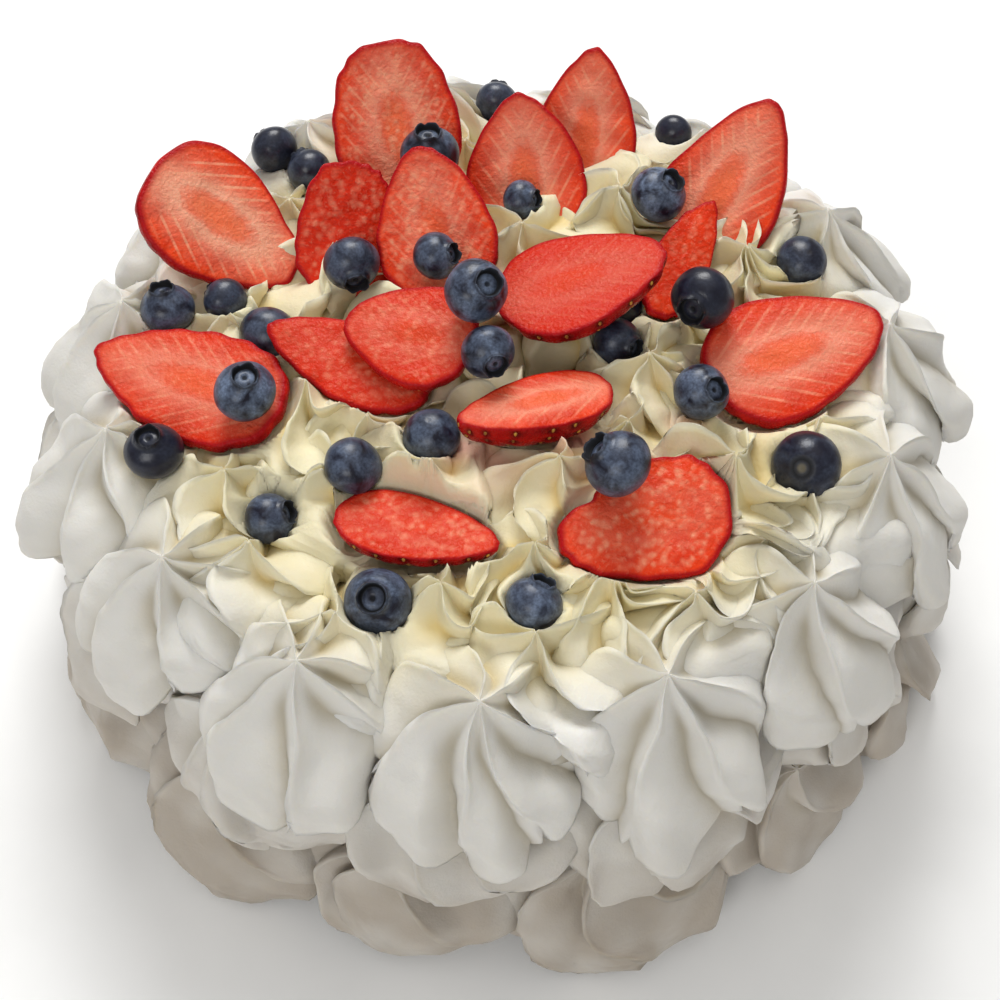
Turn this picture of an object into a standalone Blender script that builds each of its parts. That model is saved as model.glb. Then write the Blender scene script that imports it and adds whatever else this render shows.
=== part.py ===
"""A round pavlova: a piped white meringue case, filled with piped cream, blueberries and strawberry slices.

Metres, +Z up. The origin is the centre of the flat base. +Y is the back, where the slices stand highest.
"""

import math
import random
from dataclasses import dataclass

import bmesh
import bpy
from mathutils import Matrix, Vector

MM = 0.001
GAP = 0.0004  # clearance between pieces that touch

# The meringue case: a turned nest that carries three tiers of piped rosettes.
CASE_RADIUS = 0.112
CASE_HEIGHT = 0.090
NEST_RADIUS = 0.084
NEST_FLOOR = 0.070
CASE_STEPS = 16

TIER_COUNTS = (15, 11, 11)
TIER_RADII = (0.104, 0.121, 0.126)
TIER_PEAKS = (0.105, 0.079, 0.045)
TIER_REACHES = (0.0300, 0.0370, 0.0370)
TIER_FALLS = (0.0225, 0.0220, 0.0220)
TIER_DROOPS = (0.013, 0.0, 0.0)
TIER_TILTS = (0.0, 42.0, 42.0)  # how far a rosette leans out of the wall, in degrees
TIER_STARTS = (3.5, 15.0, 1.0)
TIER_PETALS = 7
WALL_SHOWN = 4  # petals of a wall rosette that stand out of the wall
HEM_HEIGHT = 0.0015  # the lowest petals end this far above the base

# The cream: a low dome in the nest, covered with smaller and less even rosettes.
CREAM_RADIUS = 0.0835
CREAM_EDGE = 0.086
CREAM_TOP = 0.106
DOME_POWER = 2.7  # higher is flatter in the middle and steeper at the edge
CREAM_FALL = 0.017
CREAM_REACH = 0.0185
CREAM_RISE = (0.009, 0.014)  # how far a swirl's peak stands above the dome
CREAM_LIFT = 0.007  # how much higher it is piped where fruit rests on it
CREAM_RINGS = ((66.0, 11, 8.0), (42.0, 7, 20.0), (17.0, 2, 50.0))

RIM_NEAR = 64.0  # millimetres from the middle, past which fruit can press into the rim
BERRY_SEGMENTS = 7
BERRY_RINGS = 4
SLICE_POINTS = 10

# Rosette sections: reach and fall as shares of the whole, depth of the grooves, share of the twist.
SHOULDER = (0.55, 0.36, 0.34, 0.45)
SKIRT = (1.00, 0.88, 0.26, 1.00)
SECTIONS = (SHOULDER, SKIRT)
# Across one petal: place from its groove to the next, and depth as a share of the groove's.
BROAD_PETAL = ((0.0, 1.0), (0.20, 0.0), (0.64, 0.12))
NARROW_PETAL = ((0.0, 1.0), (0.32, 0.0))

WHITE = (0.80, 0.79, 0.76, 1.0)
IVORY = (0.82, 0.77, 0.62, 1.0)
BLUE = (0.012, 0.018, 0.045, 1.0)
RED = (0.62, 0.05, 0.02, 1.0)


@dataclass(frozen=True)
class Rosette:
    """A swirl of petals piped round a peak; its outer petals droop over the side."""

    x: float
    y: float
    peak: float
    reach: float
    fall: float
    petals: int
    shown: int
    across: tuple
    phase: float
    twist: float
    droop: float
    tilt: float
    outward: float


@dataclass(frozen=True)
class Berry:
    """A blueberry: centre and diameter in millimetres, and where its crown points in degrees."""

    x: float
    y: float
    z: float
    size: float
    azimuth: float
    tilt: float


@dataclass(frozen=True)
class Slice:
    """A strawberry slice: the middle of its cut face, size, attitude and outline.

    Lengths are in millimetres and angles in degrees. azimuth is where the tip points, rise lifts the
    tip, roll lifts the left side. taper narrows the tip, point sharpens both ends, and belly is the
    share by which the skin side rounds in.
    """

    x: float
    y: float
    z: float
    length: float
    width: float
    thick: float
    azimuth: float
    rise: float
    roll: float
    taper: float = 0.30
    point: float = 1.0
    belly: float = 0.10


BERRIES = (
    Berry(-1, 100, 102, 12.5, 85, 75),
    Berry(-67, 78, 103, 14.0, 130, 95),
    Berry(-56, 69, 103, 13.0, 120, 75),
    Berry(-20, 62, 116, 16.5, 95, 5),
    Berry(6, 49, 111, 11.0, -20, 65),
    Berry(52, 85, 103, 11.0, 70, 95),
    Berry(44, 47, 115, 15.5, -15, 30),
    Berry(-90, 14, 105, 14.5, 110, 15),
    Berry(-75, 18, 104, 12.0, 135, 100),
    Berry(-62, 6, 103, 16.5, -120, 90),
    Berry(-64, -22, 115, 15.5, -25, 10),
    Berry(-87, -34, 106, 15.0, -100, 5),
    Berry(-40, 23, 113, 15.0, -75, 95),
    Berry(-17, 21, 118, 13.0, -20, 60),
    Berry(-6, -2, 130, 16.0, -40, 35),
    Berry(-3, -16, 123, 13.5, -70, 75),
    Berry(-17, -33, 111, 14.5, -10, 175),
    Berry(-36, -42, 111, 14.5, -170, 150),
    Berry(-57, -51, 101, 13.0, 0, 60),
    Berry(-29, -75, 102, 16.5, -105, 25),
    Berry(8, -76, 103, 13.5, 55, 40),
    Berry(28, -47, 119, 16.5, 165, 50),
    Berry(51, -20, 112, 14.5, -45, 40),
    Berry(53, 8, 116, 16.5, -120, 75),
    Berry(31, 0, 107, 13.5, -40, 70),
    Berry(33, 17, 103, 12.0, 0, 150),
    Berry(84, 32, 104, 14.0, 110, 160),
    Berry(77, -37, 104, 17.0, 60, 135),
)

SLICES = (
    Slice(-75, 38, 113, 48, 35, 5, -16, -35, 17, point=0.85),
    Slice(-30, 75, 117, 44, 36, 5, 101, 42, -3, taper=0.12, point=0.65),
    Slice(-42, 37, 111, 38, 28, 4, 86, 38, 9, taper=0.10, point=0.75),
    Slice(-18, 33, 118, 42, 31, 5, 103, 34, -8, taper=0.32),
    Slice(7, 59, 113, 42, 33, 4, 97, 41, -8, point=1.15),
    Slice(25, 76, 112, 46, 29, 4, 81, 45, 2, point=1.15),
    Slice(63, 52, 114, 52, 34, 4, 52, 37, 9, point=1.15),
    Slice(50, 27, 111, 38, 16, 4, 62, 14, 20),
    Slice(21, 9, 123, 46, 33, 10, 16, 11, -6, belly=0.55),
    Slice(-23, -6, 119, 35, 28, 4, 163, -3, -12),
    Slice(-39, -9, 112, 46, 22, 4, 156, 5, -11, point=1.1),
    Slice(-81, -12, 107, 55, 31, 5, 157, -1, -10, point=1.1),
    Slice(9, -27, 117, 42, 18, 11, -158, 8, 6, belly=0.45),
    Slice(-20, -58, 108, 41, 19, 8, -12, -2, -5, belly=0.35),
    Slice(35, -55, 107, 43, 30, 5, -166, -2, -18, taper=0.15, point=0.75),
    Slice(77, -3, 108, 52, 34, 6, 22, 5, 11, point=1.1),
)


def clear_scene():
    for item in list(bpy.data.objects):
        bpy.data.objects.remove(item, do_unlink=True)


def new_collection(name):
    collection = bpy.data.collections.new(name)
    bpy.context.scene.collection.children.link(collection)
    return collection


def make_material(name, color, roughness):
    material = bpy.data.materials.new(name)
    material.use_nodes = True
    shader = material.node_tree.nodes["Principled BSDF"]
    shader.inputs["Base Color"].default_value = color
    shader.inputs["Roughness"].default_value = roughness
    return material


def add_object(name, bm, collection):
    """Put a finished bmesh into the scene as one object, in triangles so that its pocket folds alike."""
    bmesh.ops.triangulate(bm, faces=bm.faces)
    bmesh.ops.recalc_face_normals(bm, faces=bm.faces)
    mesh = bpy.data.meshes.new(name)
    bm.to_mesh(mesh)
    bm.free()
    item = bpy.data.objects.new(name, mesh)
    collection.objects.link(item)
    return item


def hide_guide(item):
    item.hide_render = True
    item.display_type = "WIRE"


def loft(bm, rings):
    """Skin a stack of equal rings of points and cap both ends."""
    loops = [[bm.verts.new(point) for point in ring] for ring in rings]
    count = len(loops[0])
    for above, below in zip(loops, loops[1:]):
        for i in range(count):
            j = (i + 1) % count
            bm.faces.new((above[i], below[i], below[j], above[j]))
    bm.faces.new(loops[0])
    bm.faces.new(loops[-1])
    return loops


def rosette_ring(rosette, section):
    """One section of a rosette: each petal rises from its groove to a ridge, then rounds off.

    A rosette that shows only some of its petals turns them outward and closes behind them.
    """
    reach, fall, blade, turn = section
    fan = [(petal + place, depth) for petal in range(rosette.shown) for place, depth in rosette.across]
    if rosette.shown < rosette.petals:
        fan.append((rosette.shown, 1.0))
        fan.append(((rosette.shown + rosette.petals) / 2.0, 2.0))
    lean = Matrix.Rotation(rosette.tilt, 3, "Y")
    face_out = Matrix.Rotation(rosette.outward, 3, "Z")
    points = []
    for place, depth in fan:
        angle = rosette.phase + rosette.twist * turn + math.tau * place / rosette.petals - rosette.outward
        radius = rosette.reach * reach * (1.0 - blade * depth)
        out = radius * math.cos(angle)
        drop = rosette.fall * fall + rosette.droop * out / rosette.reach
        point = face_out @ lean @ Vector((out, radius * math.sin(angle), -drop))
        point += Vector((rosette.x, rosette.y, rosette.peak))
        point.z = max(point.z, HEM_HEIGHT)
        points.append(point)
    return points


def add_rosette(name, rosette, collection):
    """A rosette as a loft of star sections, drawn up to one peak."""
    bm = bmesh.new()
    rings = [rosette_ring(rosette, section) for section in SECTIONS]
    loops = loft(bm, rings)
    top = next(face for face in bm.faces if set(face.verts) == set(loops[0]))
    bmesh.ops.poke(bm, faces=[top])
    peak = max(bm.verts, key=lambda vertex: len(vertex.link_edges))
    peak.co = Vector((rosette.x, rosette.y, rosette.peak))
    item = add_object(name, bm, collection)
    hide_guide(item)
    return item


def tier_rosettes(tier, rng):
    """The rosettes of one tier round the case, set on its wall at even angles."""
    rosettes = []
    shown = TIER_PETALS if tier == 0 else WALL_SHOWN
    half_fan = math.pi * shown / TIER_PETALS
    for i in range(TIER_COUNTS[tier]):
        outward = math.radians(TIER_STARTS[tier] + 360.0 * i / TIER_COUNTS[tier])
        twist = math.radians(rng.uniform(10.0, 22.0))
        rosettes.append(
            Rosette(
                x=TIER_RADII[tier] * math.cos(outward),
                y=TIER_RADII[tier] * math.sin(outward),
                peak=TIER_PEAKS[tier] + rng.uniform(-0.0015, 0.0015),
                reach=TIER_REACHES[tier] * rng.uniform(0.95, 1.02),
                fall=TIER_FALLS[tier] * rng.uniform(0.95, 1.05),
                petals=TIER_PETALS,
                shown=shown,
                across=BROAD_PETAL,
                phase=outward - half_fan - twist + math.radians(rng.uniform(-10.0, 10.0)),
                twist=twist,
                droop=TIER_DROOPS[tier],
                tilt=math.radians(TIER_TILTS[tier]),
                outward=outward,
            )
        )
    return rosettes


def slice_rotation(piece):
    """The attitude of a slice: roll about its length, then rise of the tip, then turn."""
    turn = Matrix.Rotation(math.radians(piece.azimuth), 4, "Z")
    rise = Matrix.Rotation(math.radians(-piece.rise), 4, "Y")
    roll = Matrix.Rotation(math.radians(piece.roll), 4, "X")
    return turn @ rise @ roll


def height_under_fruit(x, y):
    """The lowest underside of the slices that lie over a point, or no limit at all."""
    lowest = math.inf
    for piece in SLICES:
        normal = slice_rotation(piece) @ Vector((0.0, 0.0, 1.0))
        dx = x - piece.x * MM
        dy = y - piece.y * MM
        if math.hypot(dx, dy) < piece.length * 0.45 * MM:
            face = piece.z * MM - (normal.x * dx + normal.y * dy) / normal.z
            lowest = min(lowest, face - piece.thick * MM)
    return lowest


def cream_rosettes(rng):
    """The smaller rosettes of the filling, in loose rings, with a light and uneven hand."""
    rosettes = []
    for ring_radius, count, start in CREAM_RINGS:
        for i in range(count):
            angle = math.radians(start + 360.0 * i / count + rng.uniform(-4.0, 4.0))
            distance = (ring_radius + rng.uniform(-3.0, 3.0)) * MM
            x = distance * math.cos(angle)
            y = distance * math.sin(angle)
            petals = rng.choice((5, 5, 6))
            peak = dome_height(distance) + rng.uniform(*CREAM_RISE)
            limit = height_under_fruit(x, y)
            if limit < math.inf:
                peak = min(peak + CREAM_LIFT, limit)
            rosettes.append(
                Rosette(
                    x=x,
                    y=y,
                    peak=peak,
                    reach=CREAM_REACH * rng.uniform(0.88, 1.12),
                    fall=CREAM_FALL,
                    petals=petals,
                    shown=petals,
                    across=NARROW_PETAL,
                    phase=rng.uniform(0.0, math.tau),
                    twist=math.radians(rng.uniform(25.0, 50.0)),
                    droop=rng.uniform(-0.002, 0.004),
                    tilt=0.0,
                    outward=angle,
                )
            )
    return rosettes


def dome_height(distance):
    """Height of the cream's dome at a distance from the middle."""
    share = min(distance / CREAM_RADIUS, 1.0)
    return CREAM_EDGE + (CREAM_TOP - CREAM_EDGE) * (1.0 - share**DOME_POWER)


def add_turned(name, profile, collection):
    """A solid turned from a profile that runs down its outer side from axis to axis."""
    mesh = bpy.data.meshes.new(name)
    points = [(radius, 0.0, z) for radius, z in profile]
    edges = [(i, i + 1) for i in range(len(points) - 1)]
    mesh.from_pydata(points, edges, [])
    item = bpy.data.objects.new(name, mesh)
    collection.objects.link(item)
    screw = item.modifiers.new("turn", "SCREW")
    screw.steps = CASE_STEPS
    screw.render_steps = CASE_STEPS
    screw.use_merge_vertices = True
    screw.merge_threshold = 0.00005
    return item


def case_profile():
    return (
        (0.0, NEST_FLOOR),
        (NEST_RADIUS, NEST_FLOOR),
        (NEST_RADIUS + 0.004, CASE_HEIGHT),
        (CASE_RADIUS - 0.006, CASE_HEIGHT - 0.002),
        (CASE_RADIUS, CASE_HEIGHT * 0.7),
        (CASE_RADIUS + 0.004, 0.0),
        (0.0, 0.0),
    )


def dome_profile():
    shares = (0.0, 0.35, 0.65, 0.88, 1.0)
    top = [(share * CREAM_RADIUS, dome_height(share * CREAM_RADIUS)) for share in shares]
    floor = NEST_FLOOR - GAP
    return (*top, (CREAM_RADIUS, floor), (0.0, floor))


def join_all(item, name, collection, operation):
    """Add or cut away every mesh of a collection with one exact Boolean."""
    boolean = item.modifiers.new(name, "BOOLEAN")
    boolean.operation = operation
    boolean.operand_type = "COLLECTION"
    boolean.collection = collection
    boolean.solver = "EXACT"


def add_pocket(item, *collections):
    """A cutter just larger than a piece, so that what it presses into keeps a small gap."""
    pocket = item.copy()
    pocket.name = item.name + "_pocket"
    for collection in collections:
        collection.objects.link(pocket)
    displace = pocket.modifiers.new("grow", "DISPLACE")
    displace.mid_level = 0.0
    displace.strength = GAP
    hide_guide(pocket)
    return pocket


def add_berry(name, berry, collection):
    """A blueberry: a flattened ball with the sunken ring of its crown."""
    bm = bmesh.new()
    radius = berry.size * MM / 2.0
    made = bmesh.ops.create_uvsphere(bm, u_segments=BERRY_SEGMENTS, v_segments=BERRY_RINGS, radius=radius)
    top = max(vertex.co.z for vertex in made["verts"])
    for vertex in made["verts"]:
        if vertex.co.z > top * 0.99:
            vertex.co.z = radius * 0.62
        elif vertex.co.z > top * 0.65:
            vertex.co.xy *= 0.55
            vertex.co.z = radius * 0.84
        else:
            vertex.co.z *= 0.90
    tilt = Matrix.Rotation(math.radians(berry.tilt), 4, "Y")
    turn = Matrix.Rotation(math.radians(berry.azimuth), 4, "Z")
    bmesh.ops.transform(bm, matrix=turn @ tilt, verts=bm.verts)
    item = add_object(name, bm, collection)
    item.location = Vector((berry.x, berry.y, berry.z)) * MM
    return item


def slice_outline(piece, scale, depth):
    """One ring of a slice: an egg-shaped outline, narrower towards the tip."""
    points = []
    for i in range(SLICE_POINTS):
        angle = math.tau * i / SLICE_POINTS
        across = math.copysign(abs(math.sin(angle)) ** piece.point, math.sin(angle))
        x = piece.length / 2.0 * math.cos(angle) * scale
        y = piece.width / 2.0 * across * (1.0 - piece.taper * math.cos(angle)) * scale
        points.append((x * MM, y * MM, -depth * MM))
    return points


def add_slice(name, piece, collection):
    """A strawberry slice: a flat cut face over a rounded back of skin."""
    bm = bmesh.new()
    rings = (
        slice_outline(piece, 0.97, 0.0),
        slice_outline(piece, 1.00, piece.thick * 0.3),
        slice_outline(piece, 1.00 - piece.belly, piece.thick),
    )
    loft(bm, rings)
    item = add_object(name, bm, collection)
    item.location = Vector((piece.x, piece.y, piece.z)) * MM
    item.rotation_euler = slice_rotation(piece).to_euler()
    return item


def add_case(parts, guides, pockets):
    """The meringue: a turned nest joined with three tiers of rosettes."""
    rng = random.Random(29)
    case = add_turned("meringue", case_profile(), parts)
    add_pocket(case, pockets)
    for tier in range(len(TIER_PEAKS)):
        for i, rosette in enumerate(tier_rosettes(tier, rng)):
            piped = add_rosette(f"tier_{tier}_{i:02d}", rosette, guides)
            if tier == 0:
                add_pocket(piped, pockets)
    join_all(case, "pipe tiers", guides, "UNION")
    return case


def add_cream(parts, guides, pockets):
    """The filling: a dome joined with its rosettes, with room left for the case and the fruit."""
    rng = random.Random(5)
    cream = add_turned("cream", dome_profile(), parts)
    for i, rosette in enumerate(cream_rosettes(rng)):
        add_rosette(f"swirl_{i:02d}", rosette, guides)
    join_all(cream, "pipe swirls", guides, "UNION")
    join_all(cream, "make room", pockets, "DIFFERENCE")
    return cream


def add_fruit(parts, pockets, rim_pockets):
    """Every berry and slice, each with a pocket in the cream and, near the edge, in the rim."""
    blue = make_material("blueberry", BLUE, 0.40)
    red = make_material("strawberry", RED, 0.30)
    makers = (("blueberry", BERRIES, add_berry, blue), ("strawberry", SLICES, add_slice, red))
    for kind, places, add_piece, material in makers:
        for i, place in enumerate(places, 1):
            item = add_piece(f"{kind}_{i:02d}", place, parts)
            item.data.materials.append(material)
            near_rim = math.hypot(place.x, place.y) > RIM_NEAR
            add_pocket(item, pockets, *([rim_pockets] if near_rim else []))


def main():
    clear_scene()
    parts = new_collection("pavlova")
    tiers = new_collection("tier guides")
    swirls = new_collection("swirl guides")
    pockets = new_collection("cream cutters")
    rim_pockets = new_collection("rim cutters")
    white = make_material("meringue", WHITE, 0.75)
    ivory = make_material("cream", IVORY, 0.45)

    case = add_case(parts, tiers, pockets)
    case.data.materials.append(white)
    add_fruit(parts, pockets, rim_pockets)
    join_all(case, "make room", rim_pockets, "DIFFERENCE")
    add_cream(parts, swirls, pockets).data.materials.append(ivory)


main()
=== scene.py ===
"""The looks of a round pavlova: piped meringue rosettes, ruffled cream, blueberries, strawberry slices.

Metres, +Z up, in the frame's own coordinates: the origin is the centre of the flat base and +Y is the
back. Tables of fruit and swirls are in millimetres and degrees. Every new piece is a surface worked out
on a grid with numpy, closed at both poles, with its place in its mesh and its object at the origin.
"""

import logging
import math
from dataclasses import dataclass, field, replace
from enum import Enum
from typing import Any, Optional

import bpy
import numpy as np
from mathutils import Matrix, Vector


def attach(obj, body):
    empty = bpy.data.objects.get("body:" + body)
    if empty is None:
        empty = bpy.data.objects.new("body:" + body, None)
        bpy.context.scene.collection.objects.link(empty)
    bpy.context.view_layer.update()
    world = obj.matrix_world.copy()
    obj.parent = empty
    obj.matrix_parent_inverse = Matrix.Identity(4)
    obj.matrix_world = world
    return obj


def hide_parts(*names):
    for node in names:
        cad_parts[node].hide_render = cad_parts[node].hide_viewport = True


MM = 0.001
BODY = "root"

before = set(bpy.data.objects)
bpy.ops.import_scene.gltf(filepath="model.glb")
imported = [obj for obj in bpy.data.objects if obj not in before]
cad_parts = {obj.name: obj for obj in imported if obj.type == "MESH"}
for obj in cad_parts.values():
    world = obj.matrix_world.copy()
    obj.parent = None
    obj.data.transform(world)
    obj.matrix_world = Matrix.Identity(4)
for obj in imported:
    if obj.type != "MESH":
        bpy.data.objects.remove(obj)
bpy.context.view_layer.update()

log = logging.getLogger("pavlova")


# -------------------- Colours and shader nodes --------------------


def linear(color: str) -> tuple[float, float, float, float]:
    """Turn an sRGB hex colour into the linear RGBA that shaders read.

    Args:
        color: Six hex digits, with or without a leading hash.

    Returns:
        Linear red, green, blue and an alpha of one.
    """
    digits = color.lstrip("#")
    shares = [int(digits[i : i + 2], 16) / 255.0 for i in (0, 2, 4)]
    red, green, blue = (s / 12.92 if s <= 0.04045 else ((s + 0.055) / 1.055) ** 2.4 for s in shares)
    return (red, green, blue, 1.0)


def set_inputs(tree: bpy.types.NodeTree, node: bpy.types.Node, inputs: dict[Any, Any]) -> None:
    """Give each named or numbered socket of a node its value, or the output socket that feeds it."""
    for key, value in inputs.items():
        if isinstance(value, bpy.types.NodeSocket):
            tree.links.new(value, node.inputs[key])
        else:
            node.inputs[key].default_value = value


def add_node(
    tree: bpy.types.NodeTree,
    kind: str,
    inputs: Optional[dict[Any, Any]] = None,
    stops: Optional[list[tuple[float, Any]]] = None,
    **settings: Any,
) -> bpy.types.Node:
    """Add one shader node with its settings, values and links.

    Args:
        tree: The material's node tree.
        kind: The node's type name.
        inputs: For each socket's name or number, a value or the output socket that feeds it.
        stops: For a colour ramp, each stop's place and colour.
        **settings: Properties of the node itself.

    Returns:
        The new node.
    """
    node = tree.nodes.new(kind)
    for name, value in settings.items():
        setattr(node, name, value)
    set_inputs(tree, node, inputs or {})
    if stops:
        elements = node.color_ramp.elements
        while len(elements) < len(stops):
            elements.new(1.0)
        for element, (place, color) in zip(elements, stops):
            element.position = place
            element.color = linear(color) if isinstance(color, str) else (color, color, color, 1.0)
    return node


def new_material(name: str) -> tuple[bpy.types.Material, bpy.types.NodeTree, bpy.types.Node]:
    """Start a node material that has one Principled shader.

    Args:
        name: The material's name.

    Returns:
        The material, its node tree and its Principled node.
    """
    material = bpy.data.materials.new(name)
    material.use_nodes = True
    tree = material.node_tree
    return material, tree, tree.nodes["Principled BSDF"]


# -------------------- Surfaces --------------------


@dataclass
class Surface:
    """A closed surface in metres: its points, its faces and the values that its finish reads."""

    points: np.ndarray
    quads: np.ndarray
    triangles: np.ndarray
    traits: dict[str, np.ndarray] = field(default_factory=dict)

    @classmethod
    def from_rings(
        cls, rings: np.ndarray, first: np.ndarray, last: np.ndarray, traits: dict[str, np.ndarray]
    ) -> "Surface":
        """Skin a stack of closed rings and draw both ends to a pole.

        Ring i, place j becomes point 1 + i * columns + j. Each quad joins two places of two rings,
        and each end ring is a fan round its pole.

        Args:
            rings: Points, as (rows, columns, 3), counter-clockwise seen from the first pole.
            first: The pole before the first ring.
            last: The pole after the last ring.
            traits: For each trait's name, its values as (rows, columns) or (rows, columns, 3).

        Returns:
            The closed surface.
        """
        rows, columns = rings.shape[:2]
        points = np.concatenate([first[None], rings.reshape(-1, 3), last[None]])
        ids = 1 + np.arange(rows * columns).reshape(rows, columns)
        after = np.roll(ids, -1, axis=1)
        quads = np.stack([ids[:-1], ids[1:], after[1:], after[:-1]], axis=-1).reshape(-1, 4)
        end = len(points) - 1
        top = np.stack([np.zeros(columns, int), ids[0], after[0]], axis=-1)
        bottom = np.stack([ids[-1], np.full(columns, end), after[-1]], axis=-1)
        spread = {}
        for name, values in traits.items():
            flat = values.reshape((rows * columns,) + values.shape[2:])
            ends = [values[0].mean(axis=0, keepdims=True), values[-1].mean(axis=0, keepdims=True)]
            spread[name] = np.concatenate([ends[0], flat, ends[1]])
        return cls(points, quads, np.concatenate([top, bottom]), spread)

    @classmethod
    def joined(cls, surfaces: list["Surface"]) -> "Surface":
        """Put several closed surfaces into one, each still closed by itself.

        Args:
            surfaces: Surfaces with the same traits.

        Returns:
            One surface that holds them all.
        """
        starts = np.cumsum([0] + [len(surface.points) for surface in surfaces[:-1]])
        return cls(
            np.concatenate([surface.points for surface in surfaces]),
            np.concatenate([surface.quads + start for surface, start in zip(surfaces, starts)]),
            np.concatenate([surface.triangles + start for surface, start in zip(surfaces, starts)]),
            {name: np.concatenate([s.traits[name] for s in surfaces]) for name in surfaces[0].traits},
        )

    def pressed(self) -> "Surface":
        """The surface after the fruit on it has been pressed into it."""
        points = self.points
        for fruit in (*SLICES, *BLUEBERRIES):
            points = fruit.press(points)
        return Surface(points, self.quads, self.triangles, self.traits)

    def to_object(self, name: str, material: bpy.types.Material) -> bpy.types.Object:
        """Put the surface into the scene as a smooth mesh that rides on the cake.

        Args:
            name: The piece's name.
            material: Its finish.

        Returns:
            The new object, at the origin.
        """
        mesh = bpy.data.meshes.new(name)
        corners = np.concatenate([self.quads.ravel(), self.triangles.ravel()])
        quad_starts = np.arange(len(self.quads)) * 4
        triangle_starts = len(self.quads) * 4 + np.arange(len(self.triangles)) * 3
        mesh.vertices.add(len(self.points))
        mesh.vertices.foreach_set("co", self.points.astype(np.float32).ravel())
        mesh.loops.add(len(corners))
        mesh.loops.foreach_set("vertex_index", corners.astype(np.int32))
        mesh.polygons.add(len(self.quads) + len(self.triangles))
        starts = np.concatenate([quad_starts, triangle_starts])
        mesh.polygons.foreach_set("loop_start", starts.astype(np.int32))
        mesh.update(calc_edges=True)
        for trait, values in self.traits.items():
            kind = ("FLOAT", "value") if values.ndim == 1 else ("FLOAT_VECTOR", "vector")
            layer = mesh.attributes.new(trait, kind[0], "POINT")
            layer.data.foreach_set(kind[1], values.astype(np.float32).ravel())
        mesh.shade_smooth()
        mesh.materials.append(material)
        piece = bpy.data.objects.new(name, mesh)
        bpy.context.scene.collection.objects.link(piece)
        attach(piece, BODY)
        return piece


def xyz(x: Any, y: Any, z: Any) -> np.ndarray:
    """Points from their three coordinates: numbers or arrays, spread to one common shape."""
    return np.stack(np.broadcast_arrays(x, y, z), axis=-1)


def smooth_step(values: np.ndarray, low: float, high: float) -> np.ndarray:
    """Rise smoothly from 0 at low to 1 at high, as 3t^2 - 2t^3."""
    share = np.clip((values - low) / (high - low), 0.0, 1.0)
    return share * share * (3.0 - 2.0 * share)


def ripple(points: np.ndarray, wavelength: float, amount: float, seed: int) -> np.ndarray:
    """A smooth shift of each point: for each axis, the sum of seven sine waves in space.

    Args:
        points: Points whose last axis holds x, y and z, in metres.
        wavelength: The waves' mean length in metres.
        amount: The shift's usual size in metres.
        seed: Picks the waves' directions, lengths and phases.

    Returns:
        The shift of each point, shaped like the points.
    """
    rng = np.random.default_rng(seed)
    ways = rng.normal(size=(7, 3))
    ways /= np.linalg.norm(ways, axis=1, keepdims=True)
    turns = math.tau / wavelength * rng.uniform(0.7, 1.5, (7, 1))
    phases = rng.uniform(0.0, math.tau, (7, 3))
    waves = np.sin((points @ (ways * turns).T)[..., None] + phases)
    return waves.sum(axis=-2) * amount / math.sqrt(7.0)


def turned(radius: np.ndarray, height: np.ndarray, steps: int) -> np.ndarray:
    """Turn a profile round the axis.

    Args:
        radius: Each ring's radius, from the first pole to the last.
        height: Each ring's height.
        steps: How many points a ring has.

    Returns:
        The rings, as (rows, steps, 3).
    """
    angles = np.linspace(0.0, math.tau, steps, endpoint=False)
    across = radius[:, None]
    return xyz(across * np.cos(angles), across * np.sin(angles), height[:, None])


def attitude(azimuth: float, rise: float, roll: float) -> np.ndarray:
    """The rotation matrix Rz(azimuth) Ry(-rise) Rx(roll), with its angles in degrees."""
    a, b, c = (math.radians(angle) for angle in (azimuth, -rise, roll))
    turn_z = np.array([[math.cos(a), -math.sin(a), 0], [math.sin(a), math.cos(a), 0], [0, 0, 1]])
    turn_y = np.array([[math.cos(b), 0, math.sin(b)], [0, 1, 0], [-math.sin(b), 0, math.cos(b)]])
    turn_x = np.array([[1, 0, 0], [0, math.cos(c), -math.sin(c)], [0, math.sin(c), math.cos(c)]])
    return turn_z @ turn_y @ turn_x


# -------------------- Finishes --------------------


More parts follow.
